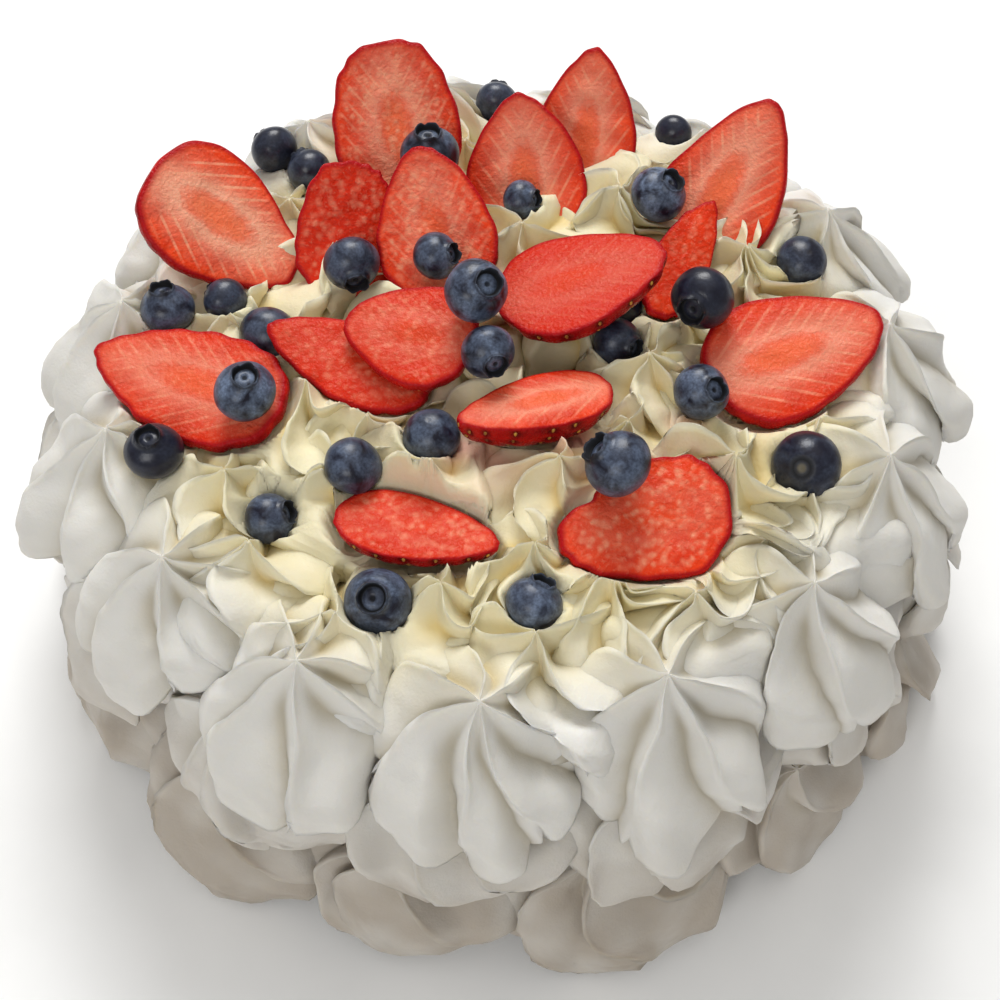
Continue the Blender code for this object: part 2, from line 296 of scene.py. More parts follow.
@dataclass(frozen=True)
class PipedCream:
    """Piped meringue and whipped cream: a matt foam of egg white or fat, soft to light.

    The nozzle leaves it smooth, with a faint satin on the ridges. It is white outside, ivory towards the
    middle, and pink where strawberry juice has run. Painted shade turns it grey to amber deep in its
    folds and warm grey towards the base.
    """

    white: str = "#E0DED8"
    # Painted shade in the folds: grey in the white, amber in the ivory.
    white_fold_shade: str = "#B6AE9C"
    ivory: str = "#E5DCBA"
    ivory_fold_shade: str = "#E2CB8A"
    # Painted shade: warm grey towards the base, where the rim shades the wall.
    base_shade_color: str = "#B6AC9F"
    pink: str = "#E6A390"
    bubble_mm: float = 0.7
    drag_mm: float = 4.0

    def build(self) -> bpy.types.Material:
        """Make the material; it reads the traits ivory and juice, and the painted shade of the folds and the
        base.
        """
        material, tree, shader = new_material("piped_cream")
        place = add_node(tree, "ShaderNodeTexCoord").outputs["Object"]
        ivory, fold, base_shade, juice = (
            add_node(tree, "ShaderNodeAttribute", attribute_name=name).outputs["Fac"]
            for name in ("ivory", "fold", "base_shade", "juice")
        )
        # The base colour and the painted shade of the folds, both from white to ivory.
        color, fold_shade_color = (
            add_node(
                tree, "ShaderNodeMix", {0: ivory, 6: linear(outside), 7: linear(inside)}, data_type="RGBA"
            ).outputs[2]
            for outside, inside in ((self.white, self.ivory), (self.white_fold_shade, self.ivory_fold_shade))
        )
        # Cover it with the painted shade of the folds and of the base, then with the juice stains.
        for share, over in ((fold, fold_shade_color), (base_shade, linear(self.base_shade_color)), (juice, linear(self.pink))):
            color = add_node(
                tree, "ShaderNodeMix", {0: share, 6: color, 7: over}, data_type="RGBA"
            ).outputs[2]
        drag, bubbles = (
            add_node(
                tree, "ShaderNodeTexNoise", {"Vector": place, "Scale": 1.0 / (size * MM), "Detail": detail}
            ).outputs["Fac"]
            for size, detail in ((self.drag_mm, 5.0), (self.bubble_mm, 2.0))
        )
        relief = add_node(tree, "ShaderNodeMath", {0: drag, 1: 3.0, 2: bubbles}, operation="MULTIPLY_ADD")
        bump = add_node(
            tree, "ShaderNodeBump", {"Height": relief.outputs[0], "Strength": 0.25, "Distance": 0.0004}
        )
        sheen = add_node(tree, "ShaderNodeMapRange", {"Value": drag, "To Min": 0.42, "To Max": 0.62})
        looks = {
            "Base Color": color,
            "Roughness": sheen.outputs[0],
            "Normal": bump.outputs[0],
            "IOR": 1.38,
            "Subsurface Weight": 0.25,
            "Subsurface Radius": (1.0, 0.8, 0.5),
            "Subsurface Scale": 0.003,
        }
        set_inputs(tree, shader, looks)
        return material


@dataclass(frozen=True)
class BerrySkin:
    """Blueberry skin: near-black blue wax with a patchy grey bloom, rubbed off where it was handled."""

    skin: str = "#10131F"
    wine: str = "#1C1A2B"
    bloom: str = "#8A9DBC"
    # The crown's near-black: partly its own dark colour, partly painted shade in its hollows and round the
    # scar.
    crown: str = "#07080D"
    scar: str = "#4E4630"
    patch_mm: float = 5.0
    speck_mm: float = 0.7

    def build(self) -> bpy.types.Material:
        """Make the material; it reads the traits bloom, crown and scar."""
        material, tree, shader = new_material("berry_skin")
        place = add_node(tree, "ShaderNodeTexCoord").outputs["Object"]
        dust, crown, scar = (
            add_node(tree, "ShaderNodeAttribute", attribute_name=name).outputs["Fac"]
            for name in ("bloom", "crown", "scar")
        )
        patches, specks = (
            add_node(
                tree,
                "ShaderNodeTexNoise",
                {"Vector": place, "Scale": 1.0 / (size * MM), "Detail": detail, "Distortion": distortion},
            ).outputs["Fac"]
            for size, detail, distortion in ((self.patch_mm, 6.0, 0.6), (self.speck_mm, 3.0, 0.0))
        )
        bloom = add_node(
            tree, "ShaderNodeValToRGB", {"Fac": patches}, stops=[(0.36, 0.0), (0.62, 1.0)]
        ).outputs["Color"]
        for factor in (specks, dust):
            bloom = add_node(tree, "ShaderNodeMath", {0: bloom, 1: factor}, operation="MULTIPLY").outputs[0]
        color = linear(self.skin)
        layers = ((specks, self.wine), (bloom, self.bloom), (crown, self.crown), (scar, self.scar))
        for share, over in layers:
            color = add_node(
                tree, "ShaderNodeMix", {0: share, 6: color, 7: linear(over)}, data_type="RGBA"
            ).outputs[2]
        dull = add_node(tree, "ShaderNodeMapRange", {"Value": bloom, "To Min": 0.28, "To Max": 0.62})
        rough = {0: crown, 1: 0.5, 2: dull.outputs[0]}
        dry = add_node(tree, "ShaderNodeMath", rough, operation="MULTIPLY_ADD")
        bump = add_node(tree, "ShaderNodeBump", {"Height": specks, "Strength": 0.2, "Distance": 0.0002})
        looks = {"Base Color": color, "Roughness": dry.outputs[0], "Normal": bump.outputs[0], "IOR": 1.40}
        set_inputs(tree, shader, looks)
        return material


@dataclass(frozen=True)
class StrawberryFlesh:
    """Cut strawberry: wet orange-red flesh with a pale core, pale veins out to the seeds, and red skin.

    The core is pale pink round an orange hollow. Veins leave it at a sharp angle towards the tip, about
    6 mm apart. Slices cut near the skin show pale blotches instead. The knife leaves the face wet.
    """

    rim: str = "#B0141A"
    flesh: str = "#F24A20"
    # deep_flesh darkens the flesh by deep, partly its own tone and partly painted shade on slices that face
    # the light, and by shade, at random.
    deep_flesh: str = "#CE2810"
    core: str = "#F4A98A"
    hollow: str = "#F0683A"
    vein: str = "#F6AC88"
    skin: str = "#8E0A10"
    skin_light: str = "#C41A14"
    # Painted shade in the skin's seed pits.
    pit: str = "#4A0608"
    grain_mm: float = 0.9
    blotch_mm: float = 2.4
    dot_mm: float = 1.9
    bend_mm: float = 0.6
    cloud_mm: float = 7.0
    vein_mm: float = 6.0

    def build(self) -> bpy.types.Material:
        """Make the material; it reads the traits ray, face, reach, core, pale, deep, blotchy and pit.

        Each ramp turns one value into a share. Each layer covers the colour under it by the product of
        its shares: first the cut face's layers from the flesh up, then the skin's.
        """
        material, tree, shader = new_material("strawberry_flesh")
        place = add_node(tree, "ShaderNodeTexCoord").outputs["Object"]
        ray = add_node(tree, "ShaderNodeAttribute", attribute_name="ray").outputs["Vector"]
        value = {
            name: add_node(tree, "ShaderNodeAttribute", attribute_name=name).outputs["Fac"]
            for name in ("face", "reach", "core", "pale", "deep", "blotchy", "pit")
        }
        noises = (
            ("grain", self.grain_mm, 4.0, 0.0),
            ("cloud", self.cloud_mm, 4.0, 0.0),
            ("blots", self.blotch_mm, 3.0, 0.8),
        )
        noise = {
            name: add_node(
                tree,
                "ShaderNodeTexNoise",
                {"Vector": place, "Scale": 1.0 / (size * MM), "Detail": detail, "Distortion": distortion},
            )
            for name, size, detail, distortion in noises
        }
        value.update({name: node.outputs["Fac"] for name, node in noise.items()})
        bend = {0: noise["grain"].outputs["Color"], 1: (self.bend_mm * MM,) * 3, 2: place}
        bent = add_node(tree, "ShaderNodeVectorMath", bend, operation="MULTIPLY_ADD").outputs[0]
        cells = {"Vector": bent, "Scale": 1.0 / (self.dot_mm * MM)}
        value["dots"] = add_node(tree, "ShaderNodeTexVoronoi", cells, feature="SMOOTH_F1").outputs["Distance"]
        blurred = {0: value["blots"], 1: 0.16, 2: value["core"]}
        value["core"] = add_node(tree, "ShaderNodeMath", blurred, operation="MULTIPLY_ADD").outputs[0]
        pitch = math.tau / 20.0 / self.vein_mm  # a wave texture repeats every tau / 20 at scale 1
        wave = {"Vector": ray, "Scale": pitch, "Distortion": 6.0, "Detail Scale": 0.35}
        value["bands"] = add_node(tree, "ShaderNodeTexWave", wave, bands_direction="X").outputs["Fac"]
        ramps = (
            ("shade", "cloud", [(0.35, 0.7), (0.62, 0.0)]),
            ("hollow", "core", [(0.20, 1.0), (0.34, 0.0)]),
            (
                "cylinder",
                "core",
                [(0.16, 0.12), (0.27, 0.25), (0.36, 0.85), (0.42, 0.70), (0.60, 0.22), (0.85, 0.0)],
            ),
            ("veins", "bands", [(0.78, 0.0), (0.99, 0.8)]),
            ("fading", "reach", [(0.30, 0.9), (0.78, 0.75), (0.94, 0.0)]),
            ("outside", "core", [(0.34, 0.0), (0.46, 1.0)]),
            ("uneven", "cloud", [(0.38, 0.25), (0.60, 1.0)]),
            ("spots", "dots", [(0.12, 0.62), (0.50, 0.0)]),
            ("inside", "reach", [(0.82, 1.0), (0.97, 0.0)]),
            ("crowd", "cloud", [(0.34, 0.35), (0.58, 1.0)]),
            ("grit", "grain", [(0.58, 0.0), (0.78, 0.30)]),
            ("rim", "reach", [(0.925, 0.0), (0.99, 1.0)]),
            ("patches", "cloud", [(0.35, 0.0), (0.65, 1.0)]),
        )
        for name, source, stops in ramps:
            value[name] = add_node(
                tree, "ShaderNodeValToRGB", {"Fac": value[source]}, stops=stops
            ).outputs["Color"]
        sides = (
            (
                self.flesh,
                # deep is partly the flesh's own tone and partly painted shade on slices that face the light.
                ("deep", self.deep_flesh),
                ("shade", self.deep_flesh),
                ("hollow pale", self.hollow),
                ("cylinder pale", self.core),
                ("veins fading outside uneven pale", self.vein),
                ("spots inside crowd blotchy", self.vein),
                ("grit", self.vein),
                ("rim", self.rim),
            ),
            # The skin: lighter patches, then painted shade in the seed pits.
            (self.skin, ("patches", self.skin_light), ("pit", self.pit)),
        )
        colors = []
        for base, *layers in sides:
            color = linear(base)
            for names, over in layers:
                first, *others = names.split()
                share = value[first]
                for name in others:
                    share = add_node(
                        tree, "ShaderNodeMath", {0: share, 1: value[name]}, operation="MULTIPLY"
                    ).outputs[0]
                color = add_node(
                    tree, "ShaderNodeMix", {0: share, 6: color, 7: linear(over)}, data_type="RGBA"
                ).outputs[2]
            colors.append(color)
        both = {0: value["face"], 6: colors[1], 7: colors[0]}
        lumps = {0: value["blots"], 1: 1.2, 2: value["grain"]}
        relief = add_node(tree, "ShaderNodeMath", lumps, operation="MULTIPLY_ADD").outputs[0]
        bump = add_node(tree, "ShaderNodeBump", {"Height": relief, "Strength": 0.75, "Distance": 0.0005})
        wet = add_node(tree, "ShaderNodeMapRange", {"Value": value["grain"], "To Min": 0.12, "To Max": 0.40})
        looks = {
            "Base Color": add_node(tree, "ShaderNodeMix", both, data_type="RGBA").outputs[2],
            "Roughness": wet.outputs[0],
            "Normal": bump.outputs[0],
            "IOR": 1.33,
            "Specular IOR Level": 0.2,
            "Subsurface Weight": 0.15,
            "Subsurface Radius": (1.0, 0.25, 0.15),
            "Subsurface Scale": 0.002,
        }
        set_inputs(tree, shader, looks)
        return material


@dataclass(frozen=True)
class SeedCoat:
    """Strawberry seeds: hard straw-yellow to brown coats, slightly shiny."""

    straw: str = "#D9A441"
    brown: str = "#6B2A12"

    def build(self) -> bpy.types.Material:
        """Make the material: each seed's shade comes from its place."""
        material, tree, shader = new_material("seed_coat")
        place = add_node(tree, "ShaderNodeTexCoord").outputs["Object"]
        shade = add_node(tree, "ShaderNodeTexNoise", {"Vector": place, "Scale": 400.0, "Detail": 2.0})
        stops = [(0.35, self.brown), (0.65, self.straw)]
        color = add_node(tree, "ShaderNodeValToRGB", {"Fac": shade.outputs["Fac"]}, stops=stops)
        set_inputs(tree, shader, {"Base Color": color.outputs["Color"], "Roughness": 0.35})
        return material


@dataclass(frozen=True)
class StudioPaper:
    """The floor: a roll of matt white paper, with the faint mottle of its pulp."""

    light: str = "#FDFDFC"
    dark: str = "#F8F8F7"

    def build(self) -> bpy.types.Material:
        """Make the material."""
        material, tree, shader = new_material("studio_paper")
        place = add_node(tree, "ShaderNodeTexCoord").outputs["Object"]
        pulp = add_node(tree, "ShaderNodeTexNoise", {"Vector": place, "Scale": 30.0, "Detail": 4.0})
        stops = [(0.3, self.dark), (0.7, self.light)]
        color = add_node(tree, "ShaderNodeValToRGB", {"Fac": pulp.outputs["Fac"]}, stops=stops)
        set_inputs(tree, shader, {"Base Color": color.outputs["Color"], "Roughness": 0.9})
        return material


# -------------------- Fruit --------------------


@dataclass(frozen=True)
class Blueberry:
    """A blueberry: centre and diameter in mm, where its crown points in degrees, and how dusty it is.

    scar is how open the stem's scar is at the far end: most have closed over.
    """

    x: float
    y: float
    z: float
    size: float
    azimuth: float
    tilt: float
    bloom: float = 0.5
    scar: float = 0.1

    COLUMNS = 60
    # From the crown's middle to its rim and over the shoulder: radius, height, raggedness and darkness.
    # The darkness is partly the crown's own dark colour and partly painted shade in its hollows.
    # Radius and height are shares of half the berry's size, and so are the heights of both poles.
    CROWN = (
        (0.030, 0.750, 0.00, 0.9),
        (0.070, 0.755, 0.00, 0.8),
        (0.110, 0.795, 0.00, 0.1),
        (0.190, 0.795, 0.00, 0.0),
        (0.290, 0.770, 0.05, 0.2),
        (0.350, 0.740, 0.10, 1.0),
        (0.385, 0.790, 0.30, 1.0),
        (0.405, 0.900, 0.80, 0.9),
        (0.430, 0.965, 1.20, 0.7),
        (0.455, 0.950, 1.00, 0.3),
        (0.470, 0.890, 0.30, 0.6),
        (0.500, 0.855, 0.00, 0.1),
    )
    CROWN_POLE = 0.74
    SCAR_POLE = -0.89
    BODY_RINGS = 30
    CLEAR = 0.1  # the gap between the berry and the cream under it, in mm
    DIMPLE = 1.7  # how steeply the cream rises beside the berry

    def surface(self, seed: int) -> Surface:
        """Work out the berry: a ragged crown, then a flattened ball, then the stem's small scar.

        Past the crown, ring k lies at the angle a from the crown's axis, with radius sin a and height
        0.9 cos a. The crown's rim rises and falls round five sepals.
        """
        rng = np.random.default_rng(seed)
        crown = np.array(self.CROWN)
        polar = np.linspace(math.asin(0.54), math.pi - 0.08, self.BODY_RINGS)
        radius = np.concatenate([crown[:, 0], np.sin(polar)])
        height = np.concatenate([crown[:, 1], 0.9 * np.cos(polar)])
        ragged = np.concatenate([crown[:, 2], np.zeros(self.BODY_RINGS)])[:, None]
        none = np.zeros(len(crown))
        dent = self.scar * np.concatenate([none, smooth_step(polar, 2.72, 2.95)])[:, None]
        scar = self.scar * np.concatenate([none, smooth_step(polar, 2.96, 3.05)])[:, None]
        # Painted shade: a dark ring in the dent round the stem's scar.
        pit = self.scar * np.concatenate([none, np.exp(-(((polar - 2.88) / 0.12) ** 2))])[:, None]
        angle = np.linspace(0.0, math.tau, self.COLUMNS, endpoint=False)[None, :]
        sepals = np.abs(np.cos(2.5 * angle + rng.uniform(0, 3))) ** 0.7
        torn = ripple(xyz(np.cos(angle), np.sin(angle), seed), 0.5, 0.35, seed)[..., 0]
        rim = ragged * (0.11 * (sepals - 0.6) + 0.05 * torn)
        wide = radius[:, None] * (1.0 + 0.4 * rim)
        tall = height[:, None] + rim + dent * 0.08
        half = self.size * MM / 2.0
        rings = xyz(wide * np.cos(angle), wide * np.sin(angle), tall)
        rings[..., :2] *= 1.0 + rng.uniform(-0.03, 0.03, 2)
        turn = attitude(self.azimuth, -self.tilt, 0.0)
        centre = np.array([self.x, self.y, self.z]) * MM
        rings = rings * half @ turn.T + centre
        rings = rings + ripple(rings, 0.012, 0.00012, seed)
        first = turn @ np.array([0.0, 0.0, self.CROWN_POLE]) * half + centre
        last = turn @ np.array([0.0, 0.0, 0.08 * self.scar + self.SCAR_POLE]) * half + centre
        # The crown's darkness, partly its own colour and partly painted shade in its hollows.
        shade = np.concatenate([crown[:, 3], np.zeros(self.BODY_RINGS)])[:, None]
        shape = rings.shape[:2]
        traits = {
            "bloom": np.full(shape, self.bloom),
            "crown": np.broadcast_to(shade + 0.9 * pit, shape),
            "scar": np.broadcast_to(scar, shape),
        }
        return Surface.from_rings(rings, first, last, traits)

    def press(self, points: np.ndarray) -> np.ndarray:
        """Push cream that stands in or above the berry down to its underside, and open a dimple beside.

        Args:
            points: Points of the cream, as (n, 3) in metres.

        Returns:
            The points, with some of them lower.
        """
        half = self.size / 2.0
        away = np.hypot(points[:, 0] / MM - self.x, points[:, 1] / MM - self.y) / half
        under = -half * np.sqrt(np.clip(1.0 - away**2, 0.0, 1.0)) - self.CLEAR
        limit = self.z + np.where(away < 1.0, under, half * self.DIMPLE * (away - 1.0))
        height = np.minimum(points[:, 2], limit * MM)
        return np.column_stack([points[:, :2], height])


@dataclass(frozen=True)
class StrawberrySlice:
    """A strawberry slice: the middle of its cut face, size, attitude and outline, and its colouring.

    Lengths are in mm and angles in degrees. azimuth is where the tip points, rise lifts the tip, and
    roll lifts the left side. taper narrows the half by the tip, a lower point makes both ends blunter,
    and belly draws the skin side in: over 0.2 it is round. pale is how white its core is, deep how dark
    its flesh is, partly its own tone and partly painted shade on slices that face the light, blotchy how
    much its flesh is mottled and ragged how torn its edge is. Each bite is a place where the edge is cut
    away: its angle from the tip, its half width in degrees and its depth as a share.
    """

    x: float
    y: float
    z: float
    length: float
    width: float
    thick: float
    azimuth: float
    rise: float
    roll: float
    taper: float = 0.30
    point: float = 1.0
    belly: float = 0.10
    pale: float = 0.6
    deep: float = 0.3
    blotchy: float = 0.1
    ragged: float = 0.15
    bites: tuple[tuple[float, float, float], ...] = ()

    COLUMNS = 144
    FACE_RINGS = 22
    BACK_RINGS = 20
    EDGE_SHARE = 0.35  # how much of the way to the middle of its back a flat slice's edge takes
    STEEPEST = 20.0  # the steepest rise of a slice that lies on the cream, in degrees
    BESIDE = (0.96, 1.32)  # where cream wells up beside a slice, against its outline
    WELL = 14.0  # how high it may well up there, in mm
    REACH_UP = 16.0  # cream higher than this above a slice is left alone, in mm
    CLEAR = 0.4  # the gap between a slice and the cream under it, in mm
    SAG = 0.9  # how far a flat slice's ends and middle are apart, in mm
    PIT_DEPTH = 0.6  # in mm, like the pits' width and half a seed's length, width and height
    PIT_WIDTH = 1.2
    SEED = (0.75, 0.45, 0.30)

    @property
    def flat(self) -> bool:
        """Whether both sides are cut. Otherwise one side is the fruit's own round skin."""
        return self.belly < 0.2

    @property
    def centre(self) -> np.ndarray:
        """The middle of the cut face, in mm."""
        return np.array([self.x, self.y, self.z])

    @property
    def turn(self) -> np.ndarray:
        """The slice's attitude as a matrix."""
        return attitude(self.azimuth, self.rise, self.roll)

    def bent(self, points: np.ndarray) -> np.ndarray:
        """Bend a flat slice's own points lengthwise, as a thin slice droops, and leave others alone."""
        lift = self.SAG * MM * ((2.0 * points[..., 0] / (self.length * MM)) ** 2 - 0.35)
        return points + lift[..., None] * np.array([0.0, 0.0, float(self.flat)])

    def outline(self, angle: np.ndarray, seed: int) -> tuple[np.ndarray, np.ndarray]:
        """The egg-shaped outline, narrower towards the tip, with a slightly wavy edge.

        x is L/2 cos a, and y is W/2 |sin a|^point (1 - taper cos a).
        """
        across = np.sign(np.sin(angle)) * np.abs(np.sin(angle)) ** self.point
        wave = 1.0 + 0.008 * np.sin(5 * angle + seed) + 0.006 * np.sin(13 * angle + 2.0 * seed)
        circle = xyz(np.cos(angle), np.sin(angle), seed)
        wave = wave + ripple(circle, 0.35, 0.022 * self.ragged, seed)[..., 0]
        for place, half_width, depth in self.bites:
            away = (angle - math.radians(place) + math.pi) % math.tau - math.pi
            wave = wave - depth * np.exp(-((away / math.radians(half_width)) ** 2))
        x = self.length / 2.0 * np.cos(angle) * wave
        y = self.width / 2.0 * across * (1.0 - self.taper * np.cos(angle)) * wave
        return x * MM, y * MM

    def seed_places(self, seed: int) -> tuple[np.ndarray, np.ndarray]:
        """Where seeds sit on the skin: angle round the outline and share of the way down the back."""
        rng = np.random.default_rng(seed)
        rows, widest = (2, 22) if self.flat else (5, 16)
        angles, shares = [], []
        for row in range(rows):
            count = int(widest * (1.0 - 0.12 * row))
            places = (np.arange(count) + 0.5 * (row % 2)) / count
            angles.append(places * math.tau + rng.uniform(-0.06, 0.06, count))
            shares.append(np.full(count, (row + 0.6) / (rows + 0.4)) + rng.uniform(-0.03, 0.03, count))
        return np.concatenate(angles), np.concatenate(shares)

    def across_back(self, share: np.ndarray) -> np.ndarray:
        """How far across the back a share of the way down the skin side is: 0 until the edge ends."""
        return np.clip((share - self.EDGE_SHARE) / (1.0 - self.EDGE_SHARE), 0.0, 1.0)

    def back(self, angle: np.ndarray, share: np.ndarray, seed: int) -> np.ndarray:
        """A point of the skin side: share 0 is the face's edge and 1 the middle of the back.

        A flat slice goes straight down its edge, drawn in by belly, and then across its back. A rounded
        one follows a quarter ellipse.
        """
        x, y = self.outline(angle, seed)
        if self.flat:
            down = np.clip(share / self.EDGE_SHARE, 0.0, 1.0)
            scale = 1.0 + 0.035 * np.sin(math.pi * down) - self.belly * down**2
            scale = scale * (1.0 - self.across_back(share) ** 1.1)
            depth = self.thick * (1.0 - (1.0 - down) ** 1.6)
        else:
            scale = np.cos(share * math.pi / 2.0) ** 0.75
            depth = self.thick * np.sin(share * math.pi / 2.0) ** 0.9
        return xyz(x * scale, y * scale, -depth * MM)

    def surface(self, seed: int) -> Surface:
        """Work out the slice: its cut face in rings from the middle, then its skin round the back.

        At the distance d from a seed, its pit is depth exp(-(d / width)^2) deep. The trait ray counts
        across the veins, which point at the tip, and core is the elliptical distance from the core.
        """
        angle = np.linspace(0.0, math.tau, self.COLUMNS, endpoint=False)[None, :]
        share = (np.arange(1, self.FACE_RINGS + 1) / self.FACE_RINGS)[:, None]
        x, y = self.outline(angle, seed)
        inner = share * 0.985
        face = xyz(x * inner, y * inner, 0.0)
        dome = (1.0 - share**4) * 0.0004
        face[..., 2] = dome + ripple(face + seed, 0.010, 0.00022, seed)[..., 2] * (1.0 - share**6)
        round_off = (np.arange(1, self.BACK_RINGS + 1) / (self.BACK_RINGS + 0.6))[:, None] ** 1.25
        skin = self.back(np.broadcast_to(angle, (self.BACK_RINGS, self.COLUMNS)), round_off, seed)
        seed_angle, seed_share = self.seed_places(seed)
        arc = (angle[..., None] - seed_angle + math.pi) % math.tau - math.pi
        girth = (self.length + self.width) / 4.0
        near = np.hypot(arc * girth, (round_off[..., None] - seed_share) * max(self.thick, 8.0) * 1.3)
        pit = np.exp(-((near / self.PIT_WIDTH) ** 2)).max(axis=-1)
        inward = np.array([0.0, 0.0, -self.thick * 0.5 * MM]) - skin
        inward /= np.linalg.norm(inward, axis=-1, keepdims=True)
        skin = skin + inward * pit[..., None] * (self.PIT_DEPTH * MM)
        local = self.bent(np.concatenate([face, skin]))
        centre = self.centre * MM
        placed = local @ self.turn.T + centre
        first = self.turn @ np.array([0.0, 0.0, 0.0002]) + centre

        face_shape, skin_shape = face.shape[:2], skin.shape[:2]
        shape = local.shape[:2]
        far = smooth_step(round_off, 0.36, 0.44) * float(self.flat)
        skin_reach = 1.0 - 0.5 * self.across_back(round_off)
        off_axis = np.abs(local[..., 1]) / MM
        along = local[..., 0] / MM
        core = np.hypot((along + 0.06 * self.length) / (0.30 * self.length), off_axis / (0.17 * self.width))
        traits = {
            "ray": xyz(along - 1.5 * off_axis + 7.0 * seed, off_axis * 0.5, seed),
            "face": np.concatenate([np.ones(face_shape), np.broadcast_to(far, skin_shape)]),
            "reach": np.concatenate(
                [np.broadcast_to(share, face_shape), np.broadcast_to(skin_reach, skin_shape)]
            ),
            "core": np.clip(core / 3.4, 0.0, 1.0),
            "pale": np.full(shape, self.pale),
            "deep": np.full(shape, self.deep),
            "blotchy": np.full(shape, self.blotchy),
            # Painted shade in the skin's seed pits.
            "pit": np.concatenate([np.zeros(face_shape), np.clip(pit * 1.2, 0.0, 0.85)]),
        }
        return Surface.from_rings(placed, first, placed[-1].mean(axis=0), traits)

    def press(self, points: np.ndarray) -> np.ndarray:
        """Push cream that stands above a flat slice's underside down to it, and let it well up beside.

        Args:
            points: Points of the cream, as (n, 3) in metres.

        Returns:
            The points, moved along the slice's own upright.
        """
        if abs(self.rise) > self.STEEPEST:
            return points
        local = (points / MM - self.centre) @ self.turn
        along = local[:, 0] / (self.length / 2.0)
        half_width = self.width / 2.0 * (1.0 - self.taper * np.clip(along, -1.0, 1.0))
        q = np.hypot(along, local[:, 1] / half_width)
        limit = self.WELL * smooth_step(q, *self.BESIDE) - self.thick - self.CLEAR
        near = (q < self.BESIDE[1]) & (local[:, 2] < self.REACH_UP)
        local[:, 2] = np.where(near, np.minimum(local[:, 2], limit), local[:, 2])
        return (local @ self.turn.T + self.centre) * MM

    def seeds(self, seed: int) -> Surface:
        """The slice's seeds: flattened drops 1.5 mm long that lie in their pits, tip down the back."""
        angle, share = self.seed_places(seed)
        spot = self.back(angle, share, seed)
        ahead = self.back(angle + 0.01, share, seed) - spot
        below = self.back(angle, share + 0.01, seed) - spot
        along = below / np.linalg.norm(below, axis=-1, keepdims=True)
        out = np.cross(along, ahead)
        out /= np.linalg.norm(out, axis=-1, keepdims=True)
        from_middle = spot - np.array([0.0, 0.0, -self.thick * 0.4 * MM])
        out *= np.sign((from_middle * out).sum(axis=-1, keepdims=True))
        side = np.cross(along, out)
        spot = self.bent(spot)
        turn, centre = self.turn, self.centre * MM
        polar = np.array([0.45, 1.0, 1.6, 2.2, 2.75])[:, None]
        around = np.linspace(0.0, math.tau, 8, endpoint=False)[None, :]
        long, wide, high = self.SEED
        broad = np.sin(polar) * np.cos(around) * wide * (1.0 - 0.25 * np.cos(polar))
        drop = xyz(np.cos(polar) * long, broad, np.sin(polar) * np.sin(around) * high)
        poles = xyz(np.array([0.8, -0.8]), 0.0, 0.0)
        made = []
        for i in range(len(angle)):
            axes = np.stack([along[i], side[i], out[i]])
            if np.linalg.det(axes) < 0.0:
                axes[1] = -axes[1]
            base = spot[i] - out[i] * 0.0004
            rings, (first, last) = ((part * MM @ axes + base) @ turn.T + centre for part in (drop, poles))
            made.append(Surface.from_rings(rings, first, last, {}))
        return Surface.joined(made)


BLUEBERRIES = (
    Blueberry(-1, 100, 102, 12.5, 85, 75, 0.3),
    Blueberry(-67, 78, 103, 14.0, 130, 95, 0.2),
    Blueberry(-56, 69, 103, 13.0, 120, 75, 0.3),
    Blueberry(-20, 62, 116, 16.5, 95, 5, 0.6),
    Blueberry(6, 49, 111, 11.0, -20, 65, 0.7),
    Blueberry(52, 85, 103, 11.0, 70, 95, 0.1),
    Blueberry(44, 47, 115, 15.5, -15, 30, 1.0),
    Blueberry(-90, 14, 105, 14.5, 110, 15, 0.6),
    Blueberry(-75, 18, 104, 12.0, 135, 100, 0.3),
    Blueberry(-62, 6, 103, 16.5, -120, 90, 0.4),
    Blueberry(-64, -22, 115, 15.5, -25, 10, 1.0),
    Blueberry(-87, -34, 106, 15.0, -100, 5, 0.1),
    Blueberry(-40, 23, 113, 15.0, -75, 95, 0.5),
    Blueberry(-17, 21, 118, 13.0, -20, 60, 0.6),
    Blueberry(-6, -2, 130, 16.0, -40, 35, 0.9),
    Blueberry(-3, -16, 123, 13.5, -70, 75, 0.7),
    Blueberry(-17, -33, 111, 14.5, -10, 175, 0.5),
    Blueberry(-36, -42, 111, 14.5, -170, 150, 0.5),
    Blueberry(-57, -51, 101, 13.0, 0, 60, 0.6),
    Blueberry(-29, -75, 102, 16.5, -105, 25, 0.7),
    Blueberry(8, -76, 103, 13.5, 55, 40, 0.8),
    Blueberry(28, -47, 119, 16.5, 165, 50, 0.6),
    Blueberry(51, -20, 112, 14.5, -45, 40, 0.8),
    Blueberry(53, 8, 116, 16.5, -120, 75, 0.1),
    Blueberry(31, 0, 107, 13.5, -40, 70, 0.3),
    Blueberry(33, 17, 103, 12.0, 0, 150, 0.1),
    Blueberry(84, 32, 104, 14.0, 110, 160, 0.3),
    Blueberry(77, -37, 104, 17.0, 60, 135, 0.2, 1.0),
)

